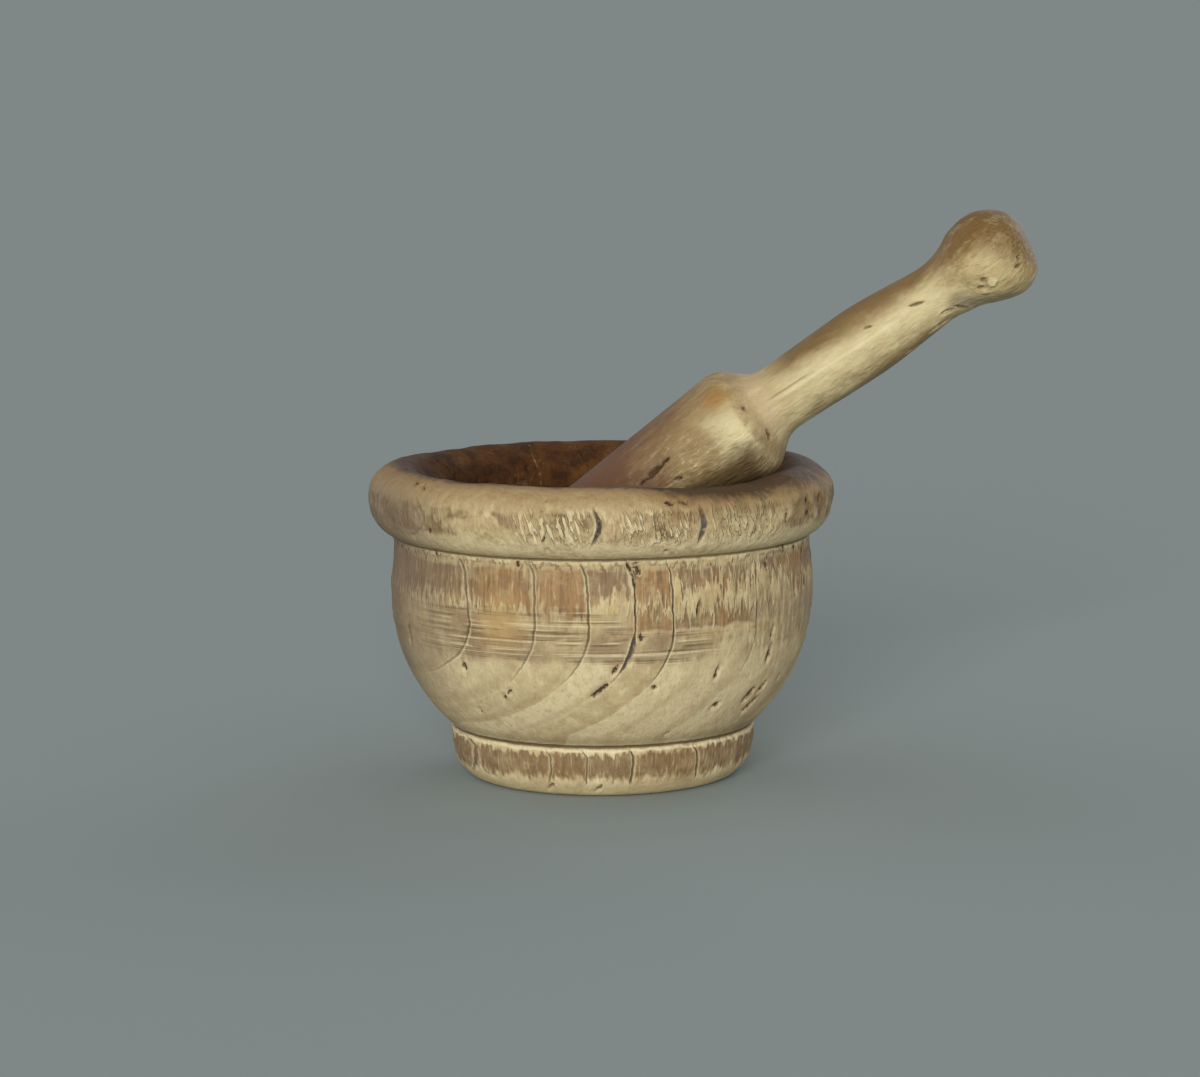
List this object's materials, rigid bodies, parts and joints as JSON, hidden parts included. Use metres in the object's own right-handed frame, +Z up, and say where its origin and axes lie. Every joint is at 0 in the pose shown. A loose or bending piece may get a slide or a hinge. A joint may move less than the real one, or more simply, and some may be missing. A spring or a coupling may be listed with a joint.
{
  "type": "mortar and pestle",
  "caption": "Turned wooden mortar with a rolled rim, a round bowl and a low foot, and a loose wooden pestle with a knob that leans in the bowl.",
  "frame": {"origin": "centre of the foot's flat underside, on the surface that the mortar stands on", "axes": "+Z up along the mortar's turning axis; the pestle leans towards +X and slightly towards -Y"},
  "size_m": [0.1761, 0.125, 0.1517],
  "materials": {
    "mortar_wood": "bare weathered wood, turned, with cracks along the growth rings",
    "pestle_wood": "bare wood, polished by the hand"
  },
  "bodies": {
    "mortar": {"mortar": "mortar_wood"},
    "pestle": {"pestle": "pestle_wood"}
  },
  "joints": [
    {"name": "pestle_lift", "type": "slide", "parent": "mortar", "child": "pestle", "axis": [0, 0, 1], "range_m": [0, 0.1]}
  ]
}
